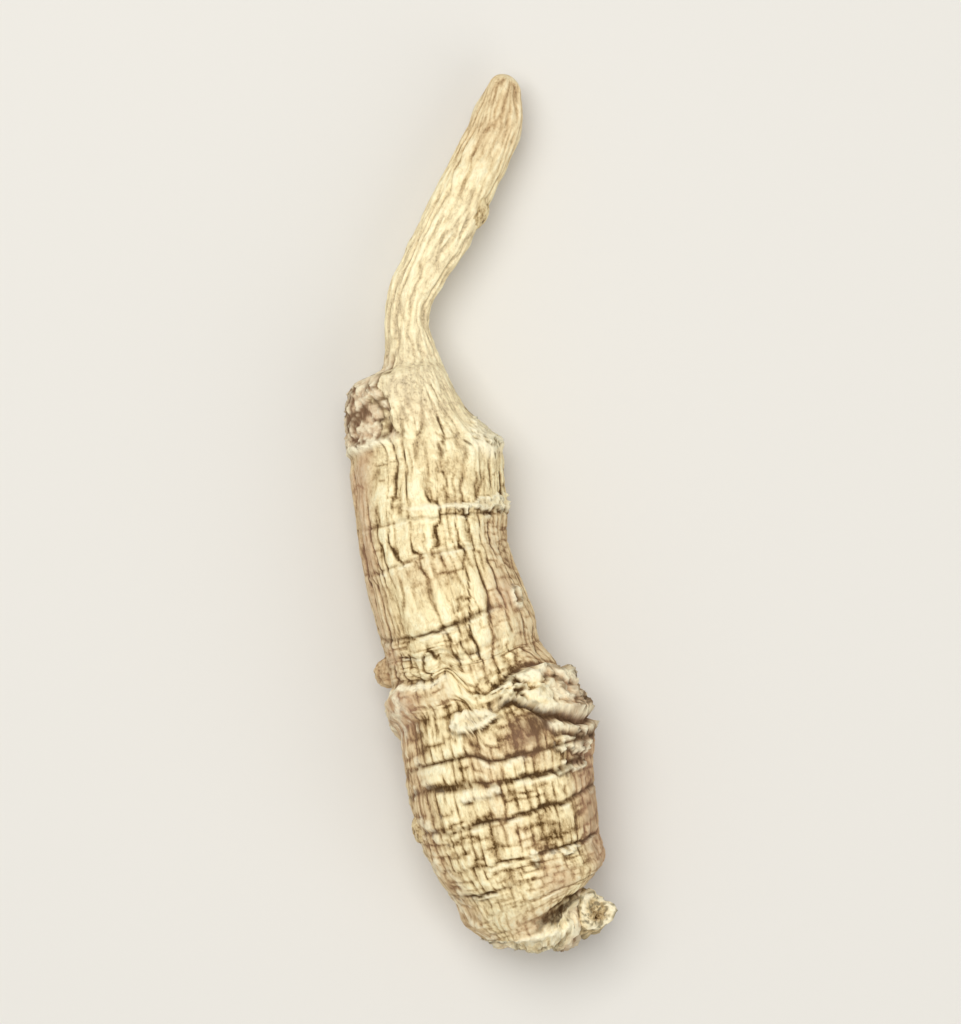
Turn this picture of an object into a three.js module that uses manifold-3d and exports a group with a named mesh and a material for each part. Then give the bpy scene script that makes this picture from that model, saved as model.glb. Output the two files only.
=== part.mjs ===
// A dried ginseng root, lying on its side: a slender bent tail, a wrinkled upper body, a ringed lower
// body with a ragged rolled collar where the upper body comes out of it, and a blunt crown with the
// stub of a side root. Millimetres, +Z up; the tail points along +Y and the crown along -Y.
import * as THREE from "three";
import { mergeVertices } from "three/addons/utils/BufferGeometryUtils.js";
import Module from "manifold-3d";

const { smoothstep, clamp, lerp, mapLinear, degToRad, radToDeg } = THREE.MathUtils;

// The root seen from above, from the tip of the tail to the crown: points of its middle line, and the
// half widths to the left and to the right of each.
const stations = [
  { x: 2.6, y: 40.5, left: 1.3, right: 1.3 },
  { x: 1.1, y: 36.1, left: 1.9, right: 3.0 },
  { x: -1.2, y: 30.3, left: 2.5, right: 2.7 },
  { x: -3.9, y: 24.9, left: 2.5, right: 2.7 },
  { x: -6.2, y: 20.5, left: 2.3, right: 2.3 },
  { x: -6.7, y: 17.3, left: 2.2, right: 2.1 },
  { x: -6.5, y: 14.6, left: 2.4, right: 2.5 },
  { x: -6.2, y: 13.2, left: 3.3, right: 2.6 },
  { x: -6.0, y: 12.0, left: 6.1, right: 3.1 },
  { x: -5.5, y: 8.7, left: 6.5, right: 4.1 },
  { x: -4.9, y: 5.0, left: 6.4, right: 6.5 },
  { x: -4.6, y: 2.2, left: 6.7, right: 6.6 },
  { x: -4.2, y: -0.8, left: 7.0, right: 6.5 },
  { x: -3.6, y: -4.3, left: 7.2, right: 6.1 },
  { x: -2.6, y: -8.2, left: 7.4, right: 6.3 },
  { x: -1.5, y: -11.9, left: 7.5, right: 6.4 },
  { x: -0.8, y: -14.3, left: 7.5, right: 6.1 },
  { x: 0.2, y: -17.5, left: 7.4, right: 7.2 },
  { x: 0.8, y: -20.0, left: 7.6, right: 7.6 },
  { x: 1.4, y: -22.4, left: 7.9, right: 8.8 },
  { x: 2.1, y: -25.6, left: 8.1, right: 8.2 },
  { x: 2.9, y: -28.8, left: 8.2, right: 8.0 },
  { x: 3.6, y: -32.0, left: 7.6, right: 7.8 },
  { x: 4.4, y: -34.9, left: 6.5, right: 7.6 },
  { x: 5.2, y: -37.4, left: 6.3, right: 4.5 },
  { x: 5.6, y: -39.6, left: 4.9, right: 3.6 },
  { x: 5.6, y: -41.1, left: 4.2, right: 2.2 },
];

// Height of the middle line: the upper and lower body lie pressed on the surface, and the waist between
// them, the crown and the tail are clear of it.
const bodyHeight = 6.3;
const tailTipHeight = 4.0;
const shoulderY = 10;
const lifts = [
  { y: -9, reach: 5, height: 0.9 },
  { y: -26, reach: 8, height: 1.6 },
];

// Fineness of the skin: faces round the root, the pitch of its rows along the tail and the body, where
// the finer rows start, and how far from the end they stop.
const facesRound = 60;
const tailRowPitch = 2;
const bodyRowPitch = 1;
const bodyStart = 29;
const crownStart = 1;

// The rounded tip and the crown with its rim and the shallow scar of the stem: how far past the end,
// and the share of the full section.
const tipRows = [
  { past: 0, share: 0 },
  { past: 0.1, share: 0.6 },
  { past: 0.8, share: 0.92 },
];
const crownRows = [
  { past: -0.6, share: 0.95 },
  { past: -0.15, share: 0.84 },
  { past: 0, share: 0.68 },
  { past: -0.2, share: 0.5 },
  { past: -1.0, share: 0.32 },
  { past: -1.2, share: 0 },
];

// The shoulder and its lips, left and right, by place along the root from the tip of the tail.
const shoulderPlace = 36;
const shoulderLips = [
  { place: 36, height: 0.3, reach: 1.25, from: -125, to: -40 },
  { place: 37.5, height: 0.5, reach: 1.25, from: 40, to: 115 },
];

// The collar: a rolled edge with a notch in front, a round lobe to the left of it and a flap that widens
// to the right. By angle from the top: how far the edge lies from the collar's place, how long and how
// high the roll beyond it is, and how deep the gap before it.
const collar = { place: 61.3, reach: 4.5, gapPlace: 60.3, gapReach: 0.6, blend: 2 };
const collarPoints = [
  { angle: -180, edge: -1.0, length: 3.0, height: 0.8, gap: 0.2 },
  { angle: -130, edge: -1.6, length: 3.6, height: 1.0, gap: 0.2 },
  { angle: -90, edge: -2.5, length: 3.5, height: 1.2, gap: 0.2 },
  { angle: -70, edge: -3.3, length: 3.8, height: 0.9, gap: 0.2 },
  { angle: -20, edge: -3.2, length: 3.2, height: 0.4, gap: 0.15 },
  { angle: -5, edge: 0.2, length: 1.6, height: 0.35, gap: 0 },
  { angle: 18, edge: -0.7, length: 1.8, height: 0.6, gap: 0.2 },
  { angle: 42, edge: -1.1, length: 4.0, height: 0.95, gap: 0.3 },
  { angle: 65, edge: -0.8, length: 4.6, height: 1.0, gap: 0.25 },
  { angle: 90, edge: 0, length: 4.2, height: 1.0, gap: 0.15 },
  { angle: 135, edge: -0.6, length: 3.5, height: 0.8, gap: 0.2 },
  { angle: 180, edge: -1.0, length: 3.0, height: 0.8, gap: 0.2 },
];
const collarRoll = { start: -0.6, full: 0.4, fallShare: 0.65 };

const paleRidge = { place: 43, height: 0.4, reach: 0.7, from: -5, to: 105 };
const crownLip = { place: 83.8, height: 0.4, reach: 0.9, from: -200, to: 200 };
const lips = [...shoulderLips, paleRidge, crownLip];

// The crown's crease and lip slope up to the right.
const crownTilt = { place: 82, reach: 2.2, slope: -1.7 };

// Ring grooves, each deepest at one angle and fading away from it to a share of its depth.
const ringGrooves = [
  { place: 44.0, depth: 0.25, deepest: 45, spread: 60 },
  { place: 47.8, depth: 0.15, deepest: -20, spread: 50 },
  { place: 53.2, depth: 0.3, deepest: -30, spread: 55 },
  { place: 55.7, depth: 0.2, deepest: -25, spread: 40 },
  { place: 67.3, depth: 0.3, deepest: 0, spread: 70 },
  { place: 68.9, depth: 0.35, deepest: 10, spread: 80 },
  { place: 71.5, depth: 0.35, deepest: 15, spread: 80 },
  { place: 74.9, depth: 0.3, deepest: 45, spread: 60 },
  { place: 77.5, depth: 0.3, deepest: -36, spread: 28 },
  { place: 79.6, depth: 0.2, deepest: 40, spread: 50 },
  { place: 81.8, depth: 0.6, deepest: 20, spread: 90 },
];
const ringShare = 0.3;
const ringBank = { share: 0.2, reach: 1.3 };

// Long furrows: two sets that sway down the root and bunch round it, and are deepest where they meet.
const furrowDepth = { tail: 0.3, upperBody: 0.4, lowerBody: 0.3 };
const furrowSets = [
  { count: 9, sway: 1.1, swayTurn: 0.13, swayStart: 0, bunch: 0.7, bunchCount: 2, bunchStart: 0, step: 2 },
  { count: 14, sway: -1.3, swayTurn: 0.1, swayStart: 2, bunch: 0.9, bunchCount: 3, bunchStart: 1, step: -3 },
];

// Waves round the root: their height, their count, their turn for each millimetre and their start.
const ringWaves = [
  { height: 0.2, count: 2, turn: 0.3, start: 0 },
  { height: 0.15, count: 3, turn: -0.2, start: 1 },
];
const collarRags = [
  { height: 0.3, count: 7, turn: 0, start: 0 },
  { height: 0.2, count: 11, turn: 0, start: 1 },
];
const lobes = [
  { height: 0.25, count: 3, turn: 0.15, start: 1 },
  { height: 0.2, count: 2, turn: -0.22, start: 0 },
];
const fullness = 0.4;

// Broken side roots, by place along the root and angle from its top towards its right; the lean turns
// the stub from straight out towards straight up.
const stubs = [
  { place: 83.65, angle: 82, radius: 1.75, length: 2.9, sink: 2.0, lean: 1.0 },
  { place: 71.5, angle: -82, radius: 1.1, length: 0.6, sink: 1.2, lean: 0 },
  { place: 57.5, angle: -104, radius: 1.2, length: 1.4, sink: 1.2, lean: 0 },
  { place: 13.2, angle: 80, radius: 1.0, length: 0.4, sink: 0.8, lean: 0 },
];
const facesRoundStub = 14;
// A flared foot, a rim and a hollow end, in shares of the stub's radius and length.
const stubProfile = [
  [1.3, 0],
  [1.02, 0.4],
  [1, 0.75],
  [0.8, 1],
  [0.5, 0.97],
  [0, 0.8],
];
const stubFoot = 1.1;

const tipY = stations[0].y;
const angleSoftness = 12;
const weldDistance = 1e-4;

function bell(distance, reach) {
  return Math.exp(-((distance / reach) ** 2));
}

function heightAt({ y }) {
  const line = mapLinear(Math.max(y, shoulderY), shoulderY, tipY, bodyHeight, tailTipHeight);
  return lifts.reduce((sum, lift) => sum + lift.height * bell(y - lift.y, lift.reach), line);
}

const middleLine = new THREE.CatmullRomCurve3(
  stations.map((station) => new THREE.Vector3(station.x, station.y, heightAt(station))),
  false,
  "catmullrom",
);
const halfWidths = new THREE.CatmullRomCurve3(
  stations.map((station) => new THREE.Vector3(station.left, station.right, 0)),
  false,
  "catmullrom",
);
const rootLength = middleLine.getLength();

// A soft-edged window over a range of angles, given in degrees from the top.
function angleWindow(angle, { from, to }) {
  const degrees = radToDeg(angle);
  const opened = smoothstep(degrees, from - angleSoftness, from + angleSoftness);
  return opened * (1 - smoothstep(degrees, to - angleSoftness, to + angleSoftness));
}

function wavesAt(waves, along, angle) {
  const heights = waves.map(({ height, count, turn, start }) => (
    height * Math.sin(count * angle + turn * along + start)
  ));
  return heights.reduce((sum, height) => sum + height, 0);
}

// Nothing on the tail, rising to one at the shoulder.
function onBody(along) {
  return smoothstep(along, bodyStart, shoulderPlace);
}

// The collar at an angle, blended smoothly between the two points on either side of it.
function collarAt(angle) {
  const degrees = radToDeg(angle);
  const next = Math.max(1, collarPoints.findIndex((point) => point.angle >= degrees));
  const before = collarPoints[next - 1];
  const after = collarPoints[next];
  const f = smoothstep(degrees, before.angle, after.angle);
  const [edge, length, height, gap] = ["edge", "length", "height", "gap"].map(
    (key) => lerp(before[key], after[key], f),
  );
  return { edge, length, height, gap };
}

// How far a ring of the skin wanders along the root at an angle round it.
function wander(along, angle) {
  const edge = collarAt(angle).edge + wavesAt(collarRags, along, angle);
  const atCrown = crownTilt.slope * Math.sin(angle) * bell(along - crownTilt.place, crownTilt.reach);
  return onBody(along) * wavesAt(ringWaves, along, angle)
    + edge * bell(along - collar.place, collar.reach)
    + atCrown;
}

function furrows(along, angle) {
  const upper = onBody(along);
  const lower = smoothstep(along, collar.place - collar.blend, collar.place + collar.blend);
  const depth = furrowDepth.tail * (1 - upper)
    + furrowDepth.upperBody * upper * (1 - lower)
    + furrowDepth.lowerBody * lower;
  let meeting = 0;
  for (const set of furrowSets) {
    const swayed = set.sway * Math.sin(set.swayTurn * along + set.swayStart);
    const bunched = set.bunch * Math.sin(set.bunchCount * angle + set.bunchStart);
    meeting += Math.cos(set.count * angle + swayed + bunched + set.step * lower) / furrowSets.length;
  }
  return -depth * Math.max(0, meeting) ** 2;
}

function rings(along, angle) {
  let cut = 0;
  for (const ring of ringGrooves) {
    const turned = Math.abs(radToDeg(angle) - ring.deepest);
    const away = Math.min(turned, 360 - turned);
    const depth = ring.depth * (ringShare + (1 - ringShare) * bell(away, ring.spread));
    const sharp = Math.max(0, 1 - Math.abs(along - ring.place) / bodyRowPitch);
    cut -= depth * (sharp + ringBank.share * bell(along - ring.place, ringBank.reach));
  }
  return cut;
}

function rolledCollar(along, angle) {
  const beyond = along - collar.place;
  const { length, height, gap } = collarAt(angle);
  const rising = smoothstep(beyond, collarRoll.start, collarRoll.full);
  const falling = smoothstep(beyond, collarRoll.fallShare * length, length);
  return height * rising * (1 - falling) - gap * bell(along - collar.gapPlace, collar.gapReach);
}

// A raised edge at a place along the root, over a range of angles.
function lipAt(lip, along, angle) {
  return lip.height * bell(along - lip.place, lip.reach) * angleWindow(angle, lip);
}

// A point of the skin: its distance along the root, its angle round it from the top, and the share of
// the full section that it stands at, which closes the two ends.
function skinPoint(along, angle, share) {
  const placed = clamp(along + share * wander(along, angle), 0, rootLength);
  const t = middleLine.getUtoTmapping(placed / rootLength);
  const half = halfWidths.getPoint(t);
  const forward = middleLine.getTangent(t);
  const side = new THREE.Vector3(0, 0, 1).cross(forward).normalize();
  const rise = forward.clone().cross(side);
  const across = Math.sin(angle) * (angle < 0 ? half.x : half.y);
  const upward = Math.cos(angle) * (half.x + half.y) / 2;
  const swell = (fullness + wavesAt(lobes, along, angle)) * onBody(along);
  const raised = lips.reduce((sum, lip) => sum + lipAt(lip, along, angle), rolledCollar(along, angle));
  const relief = swell + furrows(along, angle) + rings(along, angle) + raised;
  const grown = share * (1 + relief / Math.hypot(across, upward));
  return middleLine.getPoint(t).addScaledVector(side, across * grown).addScaledVector(rise, upward * grown);
}

function skinRows() {
  const rows = tipRows.map(({ past, share }) => ({ along: past, share }));
  let along = tailRowPitch;
  while (along < rootLength - crownStart) {
    rows.push({ along, share: 1 });
    along += along < bodyStart ? tailRowPitch : bodyRowPitch;
  }
  for (const { past, share } of crownRows) rows.push({ along: rootLength + past, share });
  return rows;
}

// The skin starts as a straight turned form, each row at its distance along the root, and every point
// is then moved to its place.
function rootGeometry() {
  const rows = skinRows();
  const profile = rows.map((row) => new THREE.Vector2(row.share, -row.along));
  const geometry = new THREE.LatheGeometry(profile, facesRound);
  const position = geometry.attributes.position;
  for (let index = 0; index < position.count; index += 1) {
    const row = rows[index % rows.length];
    const turn = Math.floor(index / rows.length) % facesRound;
    const angle = Math.PI - (turn / facesRound) * 2 * Math.PI;
    const point = skinPoint(row.along, angle, row.share);
    position.setXYZ(index, point.x, point.y, Math.max(point.z, 0));
  }
  return geometry;
}

function stubGeometry({ place, angle, radius, length, sink, lean }) {
  const points = [new THREE.Vector2(0, -sink), new THREE.Vector2(stubFoot * radius, -sink)];
  for (const [across, along] of stubProfile) points.push(new THREE.Vector2(across * radius, along * length));
  const turned = degToRad(angle);
  const foot = skinPoint(place, turned, 1);
  const outward = foot.clone().sub(skinPoint(place, turned, 0)).normalize();
  outward.z += lean;
  outward.normalize();
  const turnedOut = new THREE.Quaternion().setFromUnitVectors(new THREE.Vector3(0, 1, 0), outward);
  const stub = new THREE.LatheGeometry(points, facesRoundStub);
  return stub.applyQuaternion(turnedOut).translate(foot.x, foot.y, foot.z);
}

const wasm = await Module();
wasm.setup();

function toSolid(geometry) {
  const bare = geometry.clone();
  bare.deleteAttribute("normal");
  bare.deleteAttribute("uv");
  const merged = mergeVertices(bare, weldDistance);
  const index = merged.index.array;
  const triangles = [];
  for (let at = 0; at < index.length; at += 3) {
    const [a, b, c] = [index[at], index[at + 1], index[at + 2]];
    if (a !== b && b !== c && c !== a) triangles.push(a, b, c);
  }
  const vertProperties = new Float32Array(merged.attributes.position.array);
  const triVerts = new Uint32Array(triangles);
  return new wasm.Manifold(new wasm.Mesh({ numProp: 3, vertProperties, triVerts }));
}

function toGeometry(solid) {
  const mesh = solid.getMesh();
  const geometry = new THREE.BufferGeometry();
  geometry.setAttribute("position", new THREE.BufferAttribute(mesh.vertProperties, 3));
  geometry.setIndex(new THREE.BufferAttribute(mesh.triVerts, 1));
  return geometry;
}

const solid = stubs.reduce((body, stub) => body.add(toSolid(stubGeometry(stub))), toSolid(rootGeometry()));
const geometry = toGeometry(solid);

// The origin is at the middle of the underside of the root's box.
geometry.computeBoundingBox();
const middle = geometry.boundingBox.getCenter(new THREE.Vector3());
geometry.translate(-middle.x, -middle.y, -geometry.boundingBox.min.z);
geometry.computeVertexNormals();

const drySkin = new THREE.MeshStandardMaterial({ color: 0xd2bb90, roughness: 0.85, metalness: 0 });
const root = new THREE.Mesh(geometry, drySkin);
root.name = "ginseng_root";

const group = new THREE.Group();
group.add(root);

export default group;
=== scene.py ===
import math
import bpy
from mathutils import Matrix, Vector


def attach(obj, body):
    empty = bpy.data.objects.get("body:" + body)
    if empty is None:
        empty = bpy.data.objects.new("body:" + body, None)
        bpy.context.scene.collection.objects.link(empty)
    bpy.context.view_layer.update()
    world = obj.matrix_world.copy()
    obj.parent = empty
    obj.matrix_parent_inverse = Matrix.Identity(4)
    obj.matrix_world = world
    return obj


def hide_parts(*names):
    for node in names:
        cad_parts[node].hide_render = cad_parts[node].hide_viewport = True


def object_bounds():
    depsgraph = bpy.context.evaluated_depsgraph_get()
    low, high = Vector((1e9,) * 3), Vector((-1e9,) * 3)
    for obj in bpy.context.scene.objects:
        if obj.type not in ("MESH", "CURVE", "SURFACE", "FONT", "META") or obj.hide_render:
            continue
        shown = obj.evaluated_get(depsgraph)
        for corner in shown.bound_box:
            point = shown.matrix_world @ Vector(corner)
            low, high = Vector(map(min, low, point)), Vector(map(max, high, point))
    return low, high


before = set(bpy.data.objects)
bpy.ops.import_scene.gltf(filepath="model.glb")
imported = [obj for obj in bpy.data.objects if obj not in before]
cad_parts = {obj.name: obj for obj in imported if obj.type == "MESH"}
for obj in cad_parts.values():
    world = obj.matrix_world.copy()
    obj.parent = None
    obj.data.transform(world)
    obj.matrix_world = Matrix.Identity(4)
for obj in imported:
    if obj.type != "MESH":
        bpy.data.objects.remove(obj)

from types import SimpleNamespace

import bmesh
import bpy
import numpy as np
from mathutils import Vector

cadLow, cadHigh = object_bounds()
millimetre = 0.001
fullTurn = 2 * math.pi

# the root's form in millimetres, seen from above from the tail tip to the crown
rootForm = {
    # middle line x and y, half width to the left, half width to the right
    "stations": [
        (2.6, 40.5, 1.3, 1.3),
        (1.1, 36.1, 1.9, 3.0),
        (-1.2, 30.3, 2.5, 2.7),
        (-3.9, 24.9, 2.5, 2.7),
        (-6.2, 20.5, 2.3, 2.3),
        (-6.7, 17.3, 2.2, 2.1),
        (-6.5, 14.6, 2.4, 2.5),
        (-6.2, 13.2, 3.3, 2.6),
        (-6.0, 12.0, 6.1, 3.1),
        (-5.5, 8.7, 6.5, 4.1),
        (-4.9, 5.0, 6.4, 6.5),
        (-4.6, 2.2, 6.7, 6.6),
        (-4.2, -0.8, 7.0, 6.5),
        (-3.6, -4.3, 7.2, 6.1),
        (-2.6, -8.2, 7.4, 6.3),
        (-1.5, -11.9, 7.5, 6.4),
        (-0.8, -14.3, 7.5, 6.1),
        (0.2, -17.5, 7.4, 7.2),
        (0.8, -20.0, 7.6, 7.6),
        (1.4, -22.4, 7.9, 8.8),
        (2.1, -25.6, 8.1, 8.2),
        (2.9, -28.8, 8.2, 8.0),
        (3.6, -32.0, 7.6, 7.8),
        (4.4, -34.9, 6.5, 7.6),
        (5.2, -37.4, 6.3, 4.5),
        (5.6, -39.6, 4.9, 3.6),
        (5.6, -41.1, 4.2, 2.2),
    ],
    "bodyHeight": 6.3,  # of the middle line above the floor
    "tailTipHeight": 4.0,
    "shoulderY": 10.0,
    "lifts": [(-9.0, 5.0, 0.9), (-26.0, 8.0, 1.6)],  # y, reach, height
    "bodyStart": 29.0,  # distances along the root from the tail tip
    "shoulderPlace": 36.0,
    "collarPlace": 61.3,
    "facesRound": 256,
    "tailRowPitch": 0.36,
    "bodyRowPitch": 0.215,
    "tipRound": 1.2,
    "tipRows": 8,
    # the crown's rim and the shallow stem scar: distance past the end, share of the full section
    "crownProfile": [
        (-1.6, 1.0),
        (-0.6, 0.95),
        (-0.15, 0.84),
        (0.0, 0.68),
        (-0.2, 0.5),
        (-1.0, 0.32),
        (-1.2, 0.0),
    ],
    "crownRows": 26,
}


def smoothStep(x, low, high):
    f = np.clip((x - low) / (high - low), 0.0, 1.0)
    return f * f * (3.0 - 2.0 * f)


def bell(distance, reach):
    return np.exp(-(distance / reach) ** 2)


def smoothThrough(points, t):  # a smooth curve through evenly counted points
    last = len(points) - 1
    i = np.clip(np.floor(t).astype(int), 0, last - 1)
    f = (t - i)[..., None]
    padded = np.vstack([2 * points[0] - points[1], points, 2 * points[-1] - points[-2]])
    a, b, c, d = (padded[i + k] for k in range(4))
    return b + 0.5 * f * ((c - a) + f * ((2 * a - 5 * b + 4 * c - d) + f * (3 * (b - c) + d - a)))


scrambler = {"x": 374761393, "y": 668265263, "z": 1440662683, "seed": 1013904223, "mix": 1274126177}
wholeWord = 0xffffffff


def latticeValue(cell, seed):  # a fixed scrambled number for each cell of space
    mixed = cell[..., 0] * scrambler["x"] + cell[..., 1] * scrambler["y"] + cell[..., 2] * scrambler["z"]
    mixed = (mixed + seed * scrambler["seed"]) & wholeWord
    mixed = ((mixed ^ (mixed >> 13)) * scrambler["mix"]) & wholeWord
    return mixed ^ (mixed >> 16)


steps = (-1, 0, 1)
slopes = [(x, y, z) for x in steps for y in steps for z in steps if abs(x) + abs(y) + abs(z) == 2]
slopes = np.array(slopes, float)


def smoothNoise(points, seed):  # soft random hills, about -0.6 to 0.6
    cell = np.floor(points).astype(np.int64)
    f = points - cell
    u = f * f * f * (f * (f * 6 - 15) + 10)
    total = np.zeros(points.shape[:-1])
    for corner in np.ndindex(2, 2, 2):
        step = np.array(corner)
        slope = slopes[latticeValue(cell + step, seed) % len(slopes)]
        weight = np.prod(np.where(step == 1, u, 1 - u), axis=-1)
        total += weight * np.sum(slope * (f - step), axis=-1)
    return total


# middle line and half widths
stations = np.array(rootForm["stations"])
pastShoulder = stations[:, 1] - rootForm["shoulderY"]
tailShare = np.clip(pastShoulder / pastShoulder[0], 0.0, 1.0)
stationHeight = rootForm["bodyHeight"] + tailShare * (rootForm["tailTipHeight"] - rootForm["bodyHeight"])
for liftY, liftReach, liftHeight in rootForm["lifts"]:
    stationHeight = stationHeight + liftHeight * bell(stations[:, 1] - liftY, liftReach)
middleLine = np.column_stack([stations[:, :2], stationHeight])
halfWidths = stations[:, 2:]
fineSteps = np.linspace(0, len(stations) - 1, 4001)
finePoints = smoothThrough(middleLine, fineSteps)
fineLengths = np.concatenate([[0.0], np.cumsum(np.linalg.norm(np.diff(finePoints, axis=0), axis=1))])
rootLength = fineLengths[-1]
print("root length along its middle line", round(rootLength, 2), "mm")


def planRows():  # distance along and share of the full section for each row of the skin
    planned = []
    for k in range(rootForm["tipRows"]):
        turn = 0.5 * math.pi * k / rootForm["tipRows"]
        planned.append((rootForm["tipRound"] * (1 - math.cos(turn)), math.sin(turn)))
    place = rootForm["tipRound"]
    crownStart = rootLength + rootForm["crownProfile"][0][0]
    while place < crownStart:
        planned.append((place, 1.0))
        place += rootForm["tailRowPitch"] if place < rootForm["bodyStart"] else rootForm["bodyRowPitch"]
    profile = np.array(rootForm["crownProfile"])
    for past, size in smoothThrough(profile, np.linspace(0, len(profile) - 1, rootForm["crownRows"])):
        planned.append((rootLength + past, max(size, 0.0)))
    planned[-1] = (planned[-1][0], 0.0)
    return np.array(planned)


rows = planRows()
cols = rootForm["facesRound"]
along = rows[:, :1]
share = rows[:, 1:]
angle = (np.arange(cols) / cols * fullTurn - math.pi)[None, :]
degreesRound = np.degrees(angle)
onBody = smoothStep(along, rootForm["bodyStart"], rootForm["shoulderPlace"])
onLower = smoothStep(along, rootForm["collarPlace"] - 1, rootForm["collarPlace"] + 1)
onUpper = onBody * (1 - onLower)
onTail = 1 - onBody
meanHalf = smoothThrough(halfWidths, np.interp(along, fineLengths, fineSteps)).mean(axis=-1)
grid = np.zeros((len(rows), cols))  # a zero for every point of the skin


# where the skin has a look of its own, in degrees from the top
zoneAngles = {
    "flap": (12.0, 125.0),
    "flapFold": (38.0, 110.0),
    "underFlap": (14.0, 46.0),
    "lobe": (-150.0, -17.0),
    "lobeSide": (-112.0, -80.0),
    "lobeCrests": (-115.0, -50.0),
    "rightLedge": (34.0, 120.0),
    "rightUpper": (42.0, 130.0),
    "rightLower": (50.0, 150.0),
    "roundShoulder": (-45.0, 150.0),
    "shadedLeftSide": (-150.0, -52.0),
    "leftFlecks": (-112.0, -50.0),
    "crownHollow": (-2.0, 110.0),
    "crownRim": (-105.0, 110.0),
}
# and in millimetres from the tail tip: where it starts and where it is full
zoneStarts = {
    "tailBlushEnd": (5.0, 13.0),
    "tailPale": (8.0, 15.0),
    "leftLedge": (27.5, 29.5),
    "leftLedgeEnd": (35.6, 36.2),
    "shoulderLightEnd": (36.0, 42.0),
    "rightUpper": (42.0, 46.0),
    "nearCollar": (50.0, 55.0),
    "crownPaintedLight": (75.0, 79.0),
    "crownHollow": (81.8, 82.1),
    "crownHollowEnd": (83.2, 83.6),
    "crownRim": (83.0, 83.6),
    "crownEnd": (83.5, 84.2),
}
# or its middle and its reach
zoneMiddles = {
    "tailFoot": (32.0, 4.0),
    "roundShoulder": (33.0, 5.0),
    "rightLedge": (36.4, 1.6),
    "underFlap": (65.8, 1.3),
}
ledgeEdge = (30.0, -36.0, 1.8)  # place, angle there, degrees that it turns in a millimetre


def angleWindow(start, end, soft=12.0):  # 1 between two angles, with soft edges
    rising = smoothStep(degreesRound, start - soft, start + soft)
    return rising * (1.0 - smoothStep(degreesRound, end - soft, end + soft))


def aroundZone(name, soft=12.0):
    return angleWindow(*zoneAngles[name], soft)


def pastStart(name, ragged=0.0):
    return smoothStep(along + ragged, *zoneStarts[name])


def nearMiddle(name):
    middle, reach = zoneMiddles[name]
    return bell(along - middle, reach)


def straightPlace(turn=0.0, slide=0.0):  # place on the straightened root, in millimetres
    turned = angle + turn / meanHalf
    radius = share * meanHalf
    return np.stack([radius * np.sin(turned), radius * np.cos(turned), along + slide + grid], axis=-1)


def skinNoise(sizeRound, sizeAlong, seed, turn=0.0, slide=0.0):
    points = straightPlace(turn, slide) / np.array([sizeRound, sizeRound, sizeAlong])
    return smoothNoise(points, seed)


# soft noise in the skin: size round the root, size along it, seed
noiseSizes = {
    "jog": (1.4, 1.8, 2),
    "twitch": (0.7, 0.8, 3),
    "patchy": (2.2, 2.2, 4),
    "drift": (6.0, 7.0, 5),
    "lumps": (4.5, 5.0, 15),
    "smallLumps": (1.9, 2.2, 16),
    "grain": (0.42, 0.42, 17),
}
noise = SimpleNamespace(**{name: skinNoise(*size) for name, size in noiseSizes.items()})
noise.spots = noise.twitch + noise.jog


def crease(field, width):  # 1 along the line where a field passes zero
    return 1.0 - smoothStep(np.abs(field), 0.0, width)


def blur(field, cells):  # soft average over neighbours, wrapping round the root
    result = field
    for axis in (0, 1):
        total = np.zeros_like(result)
        weightSum = 0.0
        for step in range(-2 * cells, 2 * cells + 1):
            weight = math.exp(-(step / cells) ** 2)
            if axis == 1:
                moved = np.roll(result, step, axis=1)
            else:
                moved = result[np.clip(np.arange(len(result)) + step, 0, len(result) - 1)]
            total = total + weight * moved
            weightSum += weight
        result = total / weightSum
    return result


def addUp(shares, fields):
    return sum(shares[name] * field for name, field in fields.items())


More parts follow.
